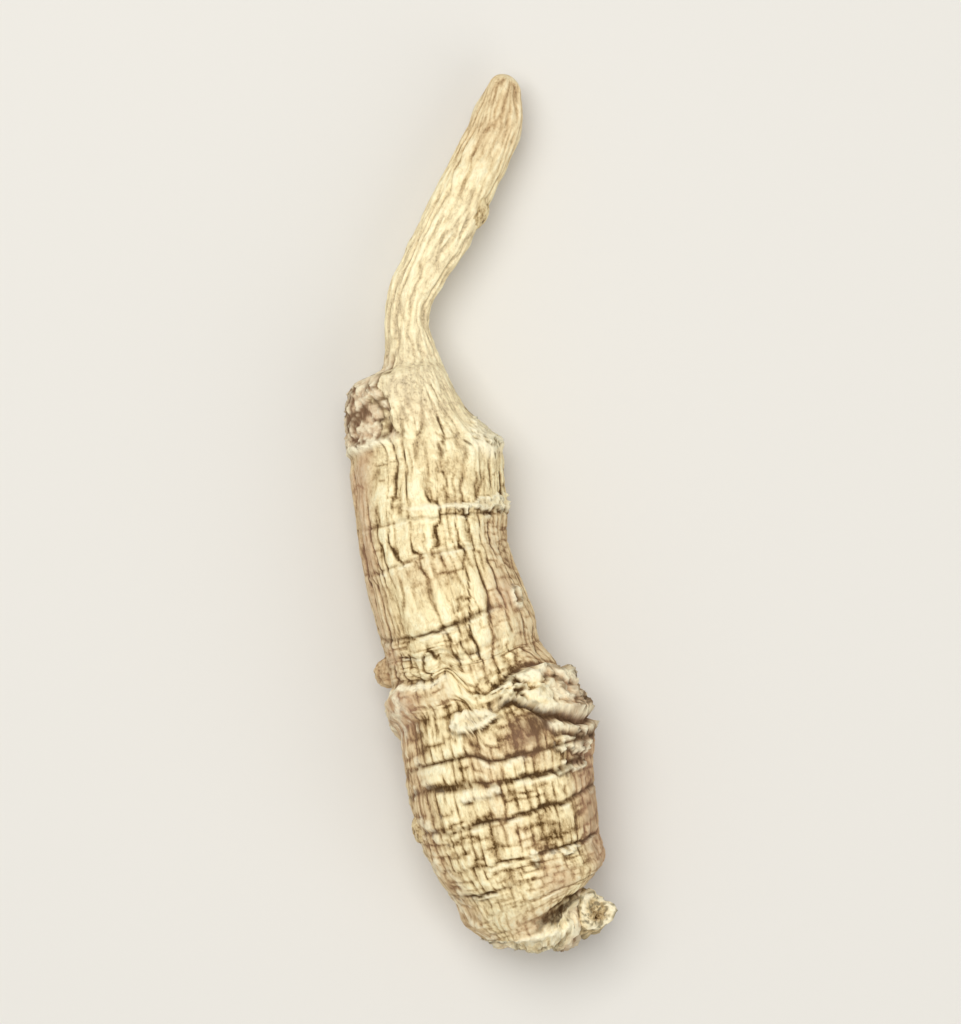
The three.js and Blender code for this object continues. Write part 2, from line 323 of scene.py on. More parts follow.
# raised and sunken features of the skin, in millimetres and degrees from the top towards the right
skinRelief = {
    "fullness": 0.4,
    "furrowDepth": (0.12, 0.25, 0.15),  # tail, upper body, lower body
    "crownTilt": (82.0, 2.2, -1.7),  # place, reach, slope
    # place, height, reach, from, to
    "lips": {
        "shoulderLeft": (36.0, 0.4, 0.45, -125.0, -28.0),
        "shoulderRight": (37.3, 0.5, 0.7, 40.0, 115.0),
        "paleRidge": (43.0, 0.25, 0.24, -16.0, 40.0),
        "crown": (83.9, 0.4, 0.6, -200.0, 200.0),
    },
    # place, depth, deepest angle, spread
    "rings": [
        (44.0, 0.2, 45.0, 60.0),
        (47.8, 0.1, -20.0, 50.0),
        (53.2, 0.3, -30.0, 55.0),
        (55.7, 0.15, -25.0, 40.0),
        (67.3, 0.3, 0.0, 70.0),
        (68.9, 0.35, 10.0, 80.0),
        (71.5, 0.35, 15.0, 80.0),
        (74.9, 0.28, 45.0, 60.0),
        (77.5, 0.28, -36.0, 28.0),
        (79.6, 0.15, 40.0, 50.0),
        (81.8, 0.6, 46.0, 40.0),
    ],
    # scars and loose flakes: place, angle, half length, half width, rise, raggedness
    "patches": [
        (43.3, 66.0, 0.9, 4.2, 0.3, 1.0),
        (63.9, -11.0, 1.05, 2.4, 0.3, 0.2),
        (67.3, 57.0, 1.1, 2.0, 0.5, 1.0),
        (68.9, 52.0, 0.6, 1.6, 0.35, 1.0),
        (75.0, 10.0, 0.9, 0.35, 0.25, 0.6),
        (75.2, 33.0, 0.5, 1.0, 0.2, 1.0),
        (69.4, -16.0, 0.3, 1.5, 0.12, 1.0),
        (77.9, -40.0, 0.3, 1.3, 0.15, 0.6),
        (36.4, 66.0, 1.2, 2.0, 0.25, 1.0),
    ],
    "roundScar": (52.7, 60.0, 0.8, 0.35, 0.5),  # place, angle, radius, height of its wall, depth of its pit
    "ringLip": 0.1,
    "strips": (0.12, 0.12, 0.1),  # steps between strips of skin on the tail, upper body and lower body
    "lumps": (0.3, 0.16),  # tail, body
    "smallLumps": (0.18, 0.16),
    "grain": 0.05,
    "ledgeGroove": 0.3,
    "tailFoot": 0.1,
    "leftFlecks": 0.12,
}

# the rolled collar
collarForm = {
    "reach": 4.5,
    "curl": 0.3,
    # angle, place of the edge, length, height, gap
    "points": [
        (-180.0, -1.0, 3.0, 0.8, 0.2),
        (-130.0, -1.6, 3.6, 1.0, 0.2),
        (-90.0, -2.5, 3.5, 1.2, 0.2),
        (-70.0, -3.3, 3.8, 0.9, 0.2),
        (-20.0, -3.2, 3.2, 0.4, 0.15),
        (-5.0, 0.2, 1.6, 0.35, 0.0),
        (18.0, -0.7, 1.8, 0.6, 0.2),
        (42.0, -1.1, 4.0, 0.95, 0.3),
        (65.0, -0.8, 4.6, 1.0, 0.25),
        (90.0, 0.0, 4.2, 1.0, 0.15),
        (135.0, -0.6, 3.5, 0.8, 0.2),
        (180.0, -1.0, 3.0, 0.8, 0.2),
    ],
    # past the torn edge of the flap: distance, reach, height
    "underFlap": (0.18, 0.24, -0.5),
    "fold": (0.85, 0.26, 0.28),
    "underFold": (1.3, 0.16, -0.2),
    "flapFolds": 0.2,
}


def collarAt(column):  # blended smoothly between the collar's points
    points = np.array(collarForm["points"])
    after = np.clip(np.searchsorted(points[:, 0], degreesRound), 1, len(points) - 1)
    before = after - 1
    f = smoothStep(degreesRound, points[before, 0], points[after, 0])
    return points[before, column] + f * (points[after, column] - points[before, column])


def wanderAlong():  # how far each ring of the skin runs along the root
    edge = collarAt(1) + 0.3 * np.sin(7 * angle) + 0.2 * np.sin(11 * angle + 1)
    atCollar = edge * bell(along - rootForm["collarPlace"], collarForm["reach"])
    crownPlace, crownReach, crownSlope = skinRelief["crownTilt"]
    atCrown = crownSlope * np.sin(angle) * bell(along - crownPlace, crownReach)
    ringWave = 0.2 * np.sin(2 * angle + 0.3 * along) + 0.15 * np.sin(3 * angle - 0.2 * along + 1)
    return onBody * ringWave + atCollar + atCrown


# lines down the root: count round it, waver, width, length of a line,
# shift at each ring, depth, darkness (partly the skin's own brown, partly painted shade in the crease), seed
lineSets = {
    "tail": (13, 1.3, 0.15, 5.0, 0.0, 0.22, 0.7, 31),
    "tailHair": (25, 1.5, 0.12, 3.0, 0.0, 0.08, 0.35, 36),
    "upper": (27, 1.0, 0.11, 6.0, 0.0, 0.15, 0.85, 41),
    "upperHair": (47, 1.3, 0.12, 2.5, 0.0, 0.07, 0.4, 46),
    "lower": (48, 0.7, 0.11, 1.4, 0.41, 0.08, 0.5, 51),
    "lowerHair": (83, 0.8, 0.1, 0.9, 0.57, 0.03, 0.25, 56),
}
lineWaver = {"slow": (3.5, 7.0), "quick": (1.1, 1.7), "quickShare": 0.34}  # sizes round and along

# short lines across it: pitch, noise where they start, noise where they are full, strength, seed
crossSets = {
    "upper": (2.0, 0.02, 0.25, 1.0, 61),
    "lower": (1.25, -0.12, 0.15, 1.0, 64),
    "lowerClose": (0.8, 0.0, 0.2, 0.7, 67),
}
crossWaver = {"slow": (5.0, 4.0), "slowShare": 0.5, "quick": (1.5, 1.5), "quickShare": 0.25}
crossLength = 2.4
crossWidth = 0.13
unlike, unlikeRing, unlikeCross = 7.31, 3.7, 5.7  # keep lines beside each other from breaking alike
crossDepth = {"upper": 0.06, "netted": 0.08, "lower": 0.07}
# darkness of the cross lines: partly the skin's own brown, partly painted shade in the crease
crossDarkness = {"upper": 0.5, "netted": 0.4, "lower": 0.55}


def longLines(name, band):  # lines down the root and a level for each strip between them
    count, waver, width, length, shift, depth, darkness, seed = lineSets[name]
    lift = shift * band
    ringsPassed = np.floor(lift + grid)
    slow = skinNoise(*lineWaver["slow"], seed)
    quick = skinNoise(*lineWaver["quick"], seed + 1)
    phase = count * angle / fullTurn + waver * (slow + lineWaver["quickShare"] * quick) + lift
    nearest = np.round(phase)
    away = np.abs(phase - nearest) * fullTurn * meanHalf / count
    spots = np.stack([(nearest % count) * unlike, (along + grid) / length, ringsPassed * unlikeRing], axis=-1)
    strength = smoothStep(smoothNoise(spots, seed + 2), -0.4, 0.2) * smoothStep(share, 0.75, 0.98)
    slope = np.gradient(phase, axis=1) * cols / count
    strength = strength * smoothStep(slope, 0.05, 0.4)  # a line fades where it would loop back
    strips = np.stack([np.floor(phase) % count, ringsPassed, grid], axis=-1).astype(np.int64)
    level = latticeValue(strips, seed + 3) % 1000 / 1000.0 - 0.5
    line = strength * bell(away, width)
    groove = strength * bell(away, 2.2 * width)
    # mark: the line's darkness, partly brown and partly painted shade in the crease
    return SimpleNamespace(line=line, mark=darkness * line, cut=depth * groove, level=level)


def crossLines(name):  # short broken lines across the root
    pitch, low, high, fullStrength, seed = crossSets[name]
    slow = skinNoise(*crossWaver["slow"], seed)
    quick = skinNoise(*crossWaver["quick"], seed + 1)
    phase = along / pitch + crossWaver["slowShare"] * slow + crossWaver["quickShare"] * quick
    nearest = np.round(phase)
    sideways = meanHalf * np.sin(angle) / crossLength + grid
    upwards = meanHalf * np.cos(angle) / crossLength + grid
    spots = np.stack([sideways, upwards, nearest * unlikeCross], axis=-1)
    strength = fullStrength * smoothStep(smoothNoise(spots, seed + 2), low, high)
    return strength * bell(np.abs(phase - nearest) * pitch, crossWidth)


def drawLines(band):
    lines = SimpleNamespace(**{name: longLines(name, band) for name in lineSets})
    lines.upperCross = crossLines("upper")
    lines.lowerCross = np.maximum(crossLines("lower"), crossLines("lowerClose"))
    return lines


def mainFurrows():
    tail, upper, lower = skinRelief["furrowDepth"]
    depth = tail * onTail + upper * onUpper + lower * onLower
    slow = 9 * angle + 1.1 * np.sin(0.13 * along) + 0.7 * np.sin(2 * angle) + 2 * onLower
    quick = 14 * angle - 1.3 * np.sin(0.1 * along + 2) + 0.9 * np.sin(3 * angle + 1) - 3 * onLower
    return -depth * np.maximum(0.0, 0.5 * (np.cos(slow) + np.cos(quick))) ** 2


def bodySwell():  # the body is not quite round
    return 0.25 * np.sin(3 * angle + 0.15 * along + 1) + 0.2 * np.sin(2 * angle - 0.22 * along)


# the cut of a ring
ringShape = {
    "width": 0.2,
    "sag": (0.15, 1.2),  # share of the depth, reach
    "lip": (0.36, 0.14),  # distance past the ring, width
    "lineWidth": 0.15,
    "darkDepth": 0.3,  # a ring this deep is fully dark; the ring's line is partly the skin's own brown, partly painted shade that grows with the cut
    "faintest": 0.2,  # share of the depth on its far side
}


def ringCuts(jitter):
    ring = SimpleNamespace(cut=grid.copy(), line=grid.copy(), lip=grid.copy(), band=grid.copy())
    sagShare, sagReach = ringShape["sag"]
    lipPlace, lipWidth = ringShape["lip"]
    faintest = ringShape["faintest"]
    lipped = smoothStep(noise.patchy, 0.02, 0.22)
    for place, depth, deepest, spread in skinRelief["rings"]:
        away = np.abs(degreesRound - deepest)
        strength = faintest + (1 - faintest) * bell(np.minimum(away, 360 - away), spread)
        strength = strength * np.clip(0.95 + 0.9 * noise.patchy, 0.4, 1.1)
        # the ring's dark line, partly brown and partly painted shade, darkens with its depth
        darkness = strength * min(1.0, depth / ringShape["darkDepth"])
        distance = along + jitter - place
        section = bell(distance, ringShape["width"]) + sagShare * bell(distance, sagReach)
        ring.cut -= depth * strength * section
        ring.line = np.maximum(ring.line, darkness * bell(distance, ringShape["lineWidth"]))
        ring.lip = np.maximum(ring.lip, strength * bell(distance - lipPlace, lipWidth) * lipped)
        ring.band += smoothStep(distance, -0.06, 0.06)
    return ring


def rolledCollar(ragged, rough):
    beyond = along - rootForm["collarPlace"] + ragged
    length, height, depth = collarAt(2), collarAt(3), collarAt(4)
    right = aroundZone("flap")
    left = aroundZone("lobe", 5.0)
    rising = smoothStep(beyond, -0.3, 0.15 + 0.9 * left)
    falling = smoothStep(beyond - rough * right, length * (0.6 + 0.28 * right), length)
    standing = rising * (1 - falling)

    def pastEdge(name, side):  # a fold or hollow past the torn edge, and how far it rises
        distance, reach, rise = collarForm[name]
        field = bell(beyond - rough - length - distance, reach) * side
        return field, rise * field

    underFlap, underFlapRise = pastEdge("underFlap", right)
    fold, foldRise = pastEdge("fold", aroundZone("flapFold"))
    underFold, underFoldRise = pastEdge("underFold", aroundZone("flapFold"))
    gap = 0.6 * depth * bell(beyond + 0.45, 0.3)
    roll = height * standing + underFlapRise + foldRise + underFoldRise
    flap = np.clip(right * standing + 0.8 * fold, 0.0, 1.0)
    folded = np.cos(fullTurn * (2.0 * (beyond - 0.2) / length + 0.5 * rough))  # crests of the flap's folds

    edges = right * bell(beyond - 0.25, 0.28) + right * bell(beyond - rough - 0.93 * length, 0.22)
    rim = 1.2 * left * bell(beyond - 0.3, 0.24) + 0.3 * aroundZone("lobeSide") * standing
    pale = edges + rim + 0.8 * fold + 0.6 * flap * smoothStep(folded, -0.1, 0.7)
    # painted shadow under the flap's torn edge, beside its fold and in the gap above the collar
    paintedCollarShade = 0.9 * underFlap + 0.7 * underFold + 3.0 * gap * (right + 0.8 * left)
    troughs = 0.75 * flap * smoothStep(-folded, 0.75, 1.0) * smoothStep(rough, -0.15, 0.2)
    return SimpleNamespace(
        rise=roll - gap + collarForm["flapFolds"] * flap * folded,
        pale=np.clip(pale, 0.0, 1.0),
        dark=np.clip(np.clip(paintedCollarShade, 0.0, 1.0) + troughs, 0.0, 1.0),
        flap=flap,
        lobe=left * standing,
    )


def raisedLips(ragged):
    lips = SimpleNamespace(rise=grid.copy(), edge=grid.copy())
    for name, (place, height, reach, start, end) in skinRelief["lips"].items():
        lip = bell(along - place + ragged, reach) * angleWindow(start, end)
        lips.rise += height * lip
        lips.edge = np.maximum(lips.edge, lip * (0.4 if name == "crown" else 1.0))
    return lips


def scarPatches(placed, rough):
    scar = SimpleNamespace(rise=grid.copy(), pale=grid.copy(), rim=grid.copy())
    for place, degrees, halfLength, halfWidth, height, ragged in skinRelief["patches"]:
        across = (angle - math.radians(degrees)) * meanHalf / halfWidth
        inside = np.hypot((placed - place) / halfLength, across) + ragged * rough
        patch = 1 - smoothStep(inside, 0.8, 1.0)
        # painted shadow just past each patch on its crown side
        shadow = bell((inside - 1.1) * min(halfLength, halfWidth), 0.12)
        scar.rise += height * patch * (0.5 + 0.5 * smoothStep(inside, 0.3, 0.8))
        scar.pale = np.maximum(scar.pale, patch * (0.3 + 0.7 * smoothStep(inside, 0.4, 0.75)))
        scar.rim = np.maximum(scar.rim, shadow * smoothStep(placed - place, 0.0, 0.5))
    place, degrees, radius, wallHeight, pitDepth = skinRelief["roundScar"]
    away = np.hypot(placed - place, (angle - math.radians(degrees)) * meanHalf)
    wall = bell(away - radius, 0.22)
    pit = bell(away, 0.55 * radius)
    scar.rise += wallHeight * wall - pitDepth * pit
    scar.pale = np.maximum(scar.pale, wall)
    # the round scar's pit is darker too
    scar.rim = np.maximum(scar.rim, pit)
    return scar


def tornSkin():  # crests of loose skin: fine ones, and long ones on the collar
    bent = {"turn": 0.6 * noise.jog, "slide": 0.5 * noise.jog + 0.6 * noise.twitch}
    crinkle = crease(skinNoise(1.9, 0.8, 71, **bent), 0.13)
    fine = crease(skinNoise(0.9, 0.5, 72, slide=0.5 * noise.twitch), 0.16)
    crests = crease(skinNoise(1.3, 0.8, 73, slide=0.4 * noise.twitch), 0.2)
    return np.maximum(crinkle, 0.6 * fine), crests


def findZones(collar, scar):
    zone = SimpleNamespace()
    edgePlace, edgeAngle, edgeTurn = ledgeEdge
    pastLedge = degreesRound - edgeAngle - edgeTurn * (along - edgePlace)
    pastLedge = pastLedge + 20.0 * noise.jog + 14.0 * noise.twitch
    onLedge = pastStart("leftLedge") * (1 - pastStart("leftLedgeEnd"))
    onLeft = smoothStep(degreesRound, -150, -125) * (1 - smoothStep(pastLedge, -6.0, 2.0))
    zone.leftLedge = onLeft * onLedge
    zone.ledgeGroove = bell(np.radians(pastLedge) * meanHalf, 0.3) * onLedge
    rightLedge = aroundZone("rightLedge") * nearMiddle("rightLedge")
    zone.crownRim = aroundZone("crownRim") * pastStart("crownRim", 0.8 * noise.jog)
    zone.flaky = 0.8 * collar.flap + zone.leftLedge + rightLedge + 0.8 * scar.pale + zone.crownRim
    zone.flaky = np.clip(zone.flaky, 0.0, 1.0)

    zone.tailFoot = nearMiddle("tailFoot") * (1 - zone.leftLedge)
    zone.roundShoulder = nearMiddle("roundShoulder") * aroundZone("roundShoulder")
    zone.rightUpper = aroundZone("rightUpper") * onUpper * pastStart("rightUpper")
    zone.netted = np.maximum(onUpper * pastStart("nearCollar"), zone.rightUpper)
    # painted shadow just below the flap's lower edge
    zone.underFlap = aroundZone("underFlap") * nearMiddle("underFlap")
    zone.rightLower = aroundZone("rightLower") * onLower
    zone.leftFlecks = aroundZone("leftFlecks") * onLower * smoothStep(noise.spots, 0.27, 0.42)

    brokenEdge = pastStart("crownHollowEnd", 0.9 * noise.jog + 0.5 * noise.twitch)
    zone.hollow = pastStart("crownHollow") * (1 - brokenEdge) * aroundZone("crownHollow")
    zone.end = pastStart("crownEnd")
    zone.stemScar = zone.end * (1 - smoothStep(share + 0.3 * noise.jog + 0.2 * noise.twitch, 0.4, 0.75))

    whole = 1 - np.clip(zone.flaky + zone.hollow, 0.0, 1.0)
    zone.upper = onUpper * whole
    zone.lower = onLower * whole * (1 - 0.3 * collar.lobe)
    return zone


def stripLevels(lines, zone, tail, upper, lower):
    levels = tail * lines.tail.level * onTail + upper * lines.upper.level * zone.upper
    return levels + lower * lines.lower.level * zone.lower


# loose and torn skin: height of its small lumps, twitches and crests, and how far it is sunk
looseRelief = {
    "flaky": (0.0, 0.0, 0.3, 0.1),
    "hollow": (0.9, 0.7, 0.3, 0.35),
    "lobe": (0.2, 0.0, 0.1, 0.0),
    "flap": (0.3, 0.25, 0.28, 0.1),
    "crownEnd": (0.5, 0.2, 0.3, 0.2),
}


def looseHeight(name, where, crests):
    lumps, twitches, ridges, sunk = looseRelief[name]
    return where * (lumps * noise.smallLumps + twitches * noise.twitch + ridges * crests - sunk)


def skinHeight(features):  # how far every point of the skin stands out
    lines, zone, collar = features.lines, features.zone, features.collar
    crinkle, crests = features.crinkle, features.crests
    tailLumps, bodyLumps = skinRelief["lumps"]
    tailSmall, bodySmall = skinRelief["smallLumps"]
    upperCut = lines.upper.cut + lines.upperHair.cut + crossDepth["upper"] * lines.upperCross
    lowerCut = lines.lower.cut + lines.lowerHair.cut + crossDepth["lower"] * lines.lowerCross
    height = (skinRelief["fullness"] + bodySwell()) * onBody + mainFurrows() + features.ring.cut
    height = height + collar.rise + features.lips.rise + features.scar.rise
    height = height + skinRelief["ringLip"] * features.ring.lip
    height = height - onTail * (lines.tail.cut + lines.tailHair.cut)
    height = height - zone.upper * upperCut - zone.lower * lowerCut
    height = height - zone.netted * crossDepth["netted"] * lines.lowerCross
    height = height + stripLevels(lines, zone, *skinRelief["strips"])
    height = height + noise.lumps * (tailLumps * onTail + bodyLumps * onBody)
    height = height + noise.smallLumps * (tailSmall * onTail + bodySmall * onBody)
    height = height + skinRelief["grain"] * noise.grain * (0.4 + 0.6 * onBody)
    height = height + looseHeight("flaky", zone.flaky, crinkle) + looseHeight("hollow", zone.hollow, crinkle)
    height = height - skinRelief["ledgeGroove"] * zone.ledgeGroove
    height = height - skinRelief["tailFoot"] * zone.tailFoot * crinkle
    height = height + skinRelief["leftFlecks"] * zone.leftFlecks
    return height + looseHeight("lobe", collar.lobe, crests) + looseHeight("flap", collar.flap, crests)


def placeSkin(height, slide):
    t = np.interp(np.clip(along + share * slide, 0.0, rootLength), fineLengths, fineSteps)
    centre = smoothThrough(middleLine, t)
    ahead = smoothThrough(middleLine, np.minimum(t + 0.01, len(stations) - 1))
    behind = smoothThrough(middleLine, np.maximum(t - 0.01, 0.0))
    forward = (ahead - behind) / np.linalg.norm(ahead - behind, axis=-1, keepdims=True)
    side = np.stack([-forward[..., 1], forward[..., 0], np.zeros_like(t)], axis=-1)
    side /= np.linalg.norm(side, axis=-1, keepdims=True)
    up = np.cross(forward, side)
    half = smoothThrough(halfWidths, t)
    across = np.sin(angle) * np.where(angle < 0, half[..., 0], half[..., 1])
    upward = np.cos(angle) * half.mean(axis=-1)
    grown = share * (1 + height / np.hypot(across, upward))
    return centre + side * (across * grown)[..., None] + up * (upward * grown)[..., None], centre


def evenShares(field):  # rank of each value, from 0 to 1
    order = np.argsort(field, axis=None, kind="stable")
    ranks = np.empty(field.size)
    ranks[order] = np.linspace(0.0, 1.0, field.size)
    return ranks.reshape(field.shape)


# strength of what lightens and darkens the skin
toneShares = {
    "near": 1.2,  # height above the skin close by: lighter ridges, painted shade in the hollows
    "wide": 0.6,  # height above the skin farther round: lighter rises, painted shade in the dips
    "lines": -1.0,
    "strips": 0.12,
    "patchy": 0.18,
    "drift": 0.15,
    "smallLumps": 0.15,
    "grain": 0.2,
    "leftLedge": -0.22,
    # painted shadow below the flap
    "underFlap": -0.2,
}
# lowest tone in each part; the crown's lift is painted light on the end, which slopes away from the key lamp
darkestTones = {"tail": 0.25, "upperBody": 0.06, "shoulder": 0.18, "crown": 0.2}


def skinTone(features, height):  # light on the ridges, dark in the lines and hollows: partly the skin's own colour, partly painted shade
    lines, zone, lobe = features.lines, features.zone, features.collar.lobe
    upperMark = lines.upper.mark + lines.upperHair.mark + crossDarkness["upper"] * lines.upperCross
    lowerMark = lines.lower.mark + lines.lowerHair.mark + crossDarkness["lower"] * lines.lowerCross
    footMark = 0.4 * features.crinkle + 0.3 * lines.upper.line + 0.2 * lines.upperHair.line
    marks = onTail * (lines.tail.mark + lines.tailHair.mark) + zone.upper * upperMark
    marks = marks + crossDarkness["netted"] * zone.netted * lines.lowerCross
    marks = marks + zone.lower * (1 + 0.5 * lobe) * lowerMark + zone.tailFoot * footMark
    tone = addUp(toneShares, {
        # painted shade: skin lying below its surroundings is darker, skin standing above them lighter
        "near": height - blur(height, 2),
        "wide": (height - blur(height, 6)) * (1 - 0.8 * lobe),
        "lines": marks,
        "strips": stripLevels(lines, zone, 1.0, 1.0, 1.0),
        "patchy": noise.patchy,
        "drift": noise.drift,
        "smallLumps": noise.smallLumps,
        "grain": noise.grain,
        "leftLedge": zone.leftLedge,
        "underFlap": zone.underFlap,
    })
    darkest = addUp(darkestTones, {
        "tail": onTail,
        "upperBody": onUpper,
        "shoulder": onUpper * (1 - pastStart("shoulderLightEnd")),
        # painted light on the crown end
        "crown": pastStart("crownPaintedLight"),
    })
    return darkest + (1 - darkest) * evenShares(tone)


# strength of each brown mark; the ring and crease lines, the collar, the scar shadows, the crown hollow and
# the place under the flap are partly or wholly painted shade
darkShares = {
    "ringLines": 0.9,
    "collar": 1.0,
    # painted shadow below the raised patches, and the darker pit of the round scar
    "scarShadowsAndPit": 0.8,
    "ledgePits": 0.75,
    "flakePits": 0.6,
    "ledgeGroove": 0.5,
    "hollow": 1.0,
    "crownEnd": 0.4,
    "stemScar": 1.0,
    "upperLines": 0.65,
    "underFlap": 0.4,
    # painted shadow below the flap
    "flapPits": 0.5,
    "rightSide": 0.25,
}


def darkMarks(features):
    lines, zone, flap = features.lines, features.zone, features.collar.flap
    smooth = 1 - features.crinkle
    return addUp(darkShares, {
        "ringLines": features.ring.line,
        "collar": features.collar.dark,
        "scarShadowsAndPit": features.scar.rim,
        "ledgePits": zone.leftLedge * smooth * smoothStep(noise.smallLumps + 0.5 * noise.twitch, 0.0, 0.25),
        "flakePits": features.scar.pale * smooth * smoothStep(noise.twitch, 0.1, 0.3),
        "ledgeGroove": zone.ledgeGroove,
        # brown patches in the crown's sunken hollow, partly painted shade under the deep crease
        "hollow": zone.hollow * smoothStep(noise.spots + noise.patchy, -0.35, -0.05),
        "crownEnd": zone.end * smoothStep(noise.spots, 0.1, 0.35),
        "stemScar": zone.stemScar * (0.35 + 0.6 * noise.patchy),
        "upperLines": zone.upper * lines.upper.line * smoothStep(noise.patchy, -0.2, 0.1),
        "underFlap": zone.underFlap * smoothStep(noise.spots, -0.1, 0.2),
        "flapPits": flap * (1 - features.crests) * smoothStep(noise.spots, 0.1, 0.3),
        "rightSide": zone.rightLower * smoothStep(noise.patchy + noise.twitch, 0.0, 0.3),
    })


# strength of each pale patch
paleShares = {
    "collar": 1.0,
    "flapCrests": 0.5,
    "lobeCrests": 0.4,
    "looseSkin": 1.0,
    "lips": 1.0,
    "patches": 0.9,
    "ringLips": 0.8,
    "crownRim": 0.1,
    "roundShoulder": 0.2,
    "hollowFlakes": 0.6,
    "leftFlecks": 0.6,
    "stemScar": -1.0,
    "tail": 0.3,
}


def paleFilm(features):
    zone, collar = features.zone, features.collar
    loose = zone.flaky * (1 - collar.flap) * (0.7 * features.crinkle + 0.1)
    return addUp(paleShares, {
        "collar": collar.pale,
        "flapCrests": features.crests * collar.flap,
        "lobeCrests": features.crests * collar.lobe * aroundZone("lobeCrests"),
        "looseSkin": loose * (1 - 0.2 * zone.leftLedge),
        "lips": features.lips.edge,
        "patches": features.scar.pale,
        "ringLips": features.ring.lip,
        "crownRim": zone.crownRim,
        "roundShoulder": zone.roundShoulder,
        "hollowFlakes": zone.hollow * smoothStep(-noise.spots - noise.patchy, 0.1, 0.4),
        "leftFlecks": zone.leftFlecks,
        "stemScar": zone.stemScar,
        "tail": onTail * pastStart("tailPale"),
    })


# strength of each rosy patch
blushShares = {
    "leftLedge": 0.9,
    "tailTip": 0.4,
    "rightSide": 1.0,
    # painted shade below the flap, in a rosy tone
    "underFlap": 0.5,
    "lobe": 0.35,
    "rightUpper": 0.5,
    "stemScar": 0.4,
    # partly the skin's own rosy brown, partly painted shade down the body's left side
    "shadedLeftSide": 0.55,
    "lumps": 1.2,
}


def rosyBlush(features):
    zone = features.zone
    return addUp(blushShares, {
        "leftLedge": zone.leftLedge,
        "tailTip": onTail * (1 - pastStart("tailBlushEnd")),
        "rightSide": zone.rightLower,
        "underFlap": zone.underFlap,
        "lobe": features.collar.lobe,
        "rightUpper": zone.rightUpper,
        "stemScar": zone.stemScar,
        # painted shade, partly rosy skin, on the body's left side
        "shadedLeftSide": aroundZone("shadedLeftSide") * onBody,
        "lumps": np.maximum(0.0, noise.lumps - 0.14) * onBody,
    })


def dressSkin():  # the place of every point of the skin and the marks that colour it
    jog, twitch = noise.jog, noise.twitch
    wander = wanderAlong()
    features = SimpleNamespace()
    features.ring = ringCuts(0.25 * jog + 0.15 * twitch)
    features.collar = rolledCollar(0.5 * jog + 0.3 * twitch, 0.6 * jog + 0.5 * twitch)
    features.lips = raisedLips(0.4 * jog + 0.2 * twitch)
    features.scar = scarPatches(along + wander, 0.8 * twitch + 0.6 * jog)
    features.lines = drawLines(features.ring.band)
    features.crinkle, features.crests = tornSkin()
    features.zone = findZones(features.collar, features.scar)

    height = skinHeight(features)
    slide = wander - collarForm["curl"] * np.maximum(features.collar.rise, 0.0)
    slide = slide + 0.15 * noise.smallLumps * onBody
    skin, centre = placeSkin(height, slide)
    skin[..., 1] -= looseHeight("crownEnd", features.zone.end, features.crinkle)
    skin[..., 2] = np.maximum(skin[..., 2], 0.0)

    dark = darkMarks(features)
    tone = skinTone(features, height) - 0.35 * np.clip(dark, 0.0, 1.0) - 0.25 * features.zone.stemScar
    clearOfDarkMarks = 1 - np.clip(1.6 * dark, 0.0, 1.0)  # skin that is brown or painted in shade has no pale film over it
    pale = np.clip(paleFilm(features), 0.0, 1.0) * clearOfDarkMarks
    marks = {"tone": tone, "dark": dark, "pale": pale, "blush": rosyBlush(features)}
    marks = {name: np.clip(field, 0.0, 1.0) for name, field in marks.items()}
    return skin, centre, marks


def spinAround(bm, outline, axis, steps):  # turns a profile round an axis and closes its ends
    before = set(bm.verts)
    profile = [bm.verts.new(spot) for spot in outline]
    edges = [bm.edges.new(pair) for pair in zip(profile, profile[1:])]
    turned = profile + edges
    bmesh.ops.spin(bm, geom=turned, cent=(0, 0, 0), axis=axis, angle=fullTurn, steps=steps, use_merge=True)
    made = [vert for vert in bm.verts if vert not in before]
    bmesh.ops.remove_doubles(bm, verts=made, dist=0.001)
    return [vert for vert in made if vert.is_valid]


def columnAt(turn):  # column of the skin at an angle round the root
    return round((turn + math.pi) / fullTurn * cols) % cols


def layRoot(bm, layers, skin, marks):
    last = len(rows) - 1
    # a straight turned form, one unit per row, then every point goes to its place
    outline = [(0.0 if k in (0, last) else 1.0, -float(k), 0.0) for k in range(len(rows))]
    places = straightPlace()
    for vert in spinAround(bm, outline, (0, 1, 0), cols):
        row = round(-vert.co.y)
        col = columnAt(math.atan2(vert.co.x, vert.co.z))
        vert.co = skin[row, col]
        for name, field in marks.items():
            vert[layers[name]] = field[row, col]
        vert[layers["skinPlace"]] = places[row, col]


# broken side roots: place, angle, radius, length, lean towards straight up, kind of end, blush
stubs = {
    "crownNub": (83.5, 84.0, 1.8, 2.6, 1.4, "broken", 0.0),
    "leftKnob": (71.5, -82.0, 1.15, 0.7, 0.0, "rounded", 0.15),
    "leftLobe": (57.5, -104.0, 1.2, 1.3, 0.0, "rounded", 0.6),
    "tailKnob": (13.2, 80.0, 1.1, 0.45, 0.0, "rounded", 0.0),
}
stubEnds = {  # shares of the radius and of the length
    "broken": [
        (1.5, -0.6),
        (1.3, 0.0),
        (1.1, 0.35),
        (1.04, 0.65),
        (1.04, 0.82),
        (0.95, 0.95),
        (0.78, 1.01),
        (0.6, 1.0),
        (0.42, 0.97),
        (0.2, 0.95),
        (0.0, 0.96),
    ],
    "rounded": [
        (1.7, -0.6),
        (1.3, 0.0),
        (1.02, 0.5),
        (0.75, 0.85),
        (0.42, 1.0),
        (0.0, 1.04),
    ],
}
stubFineness = (40, 26)  # faces round, rows
stubSkin = {
    "bumpSizes": (1.3, 0.55),
    "speckleSizes": (0.5, 0.25),
    "bumpsOut": 0.22,  # shares of the radius and of the length
    "bumpsUp": 0.18,
    "specklesUp": 0.08,
    "brokenSwell": (0.1, 0.07),
    "roundedPale": 0.4,
}


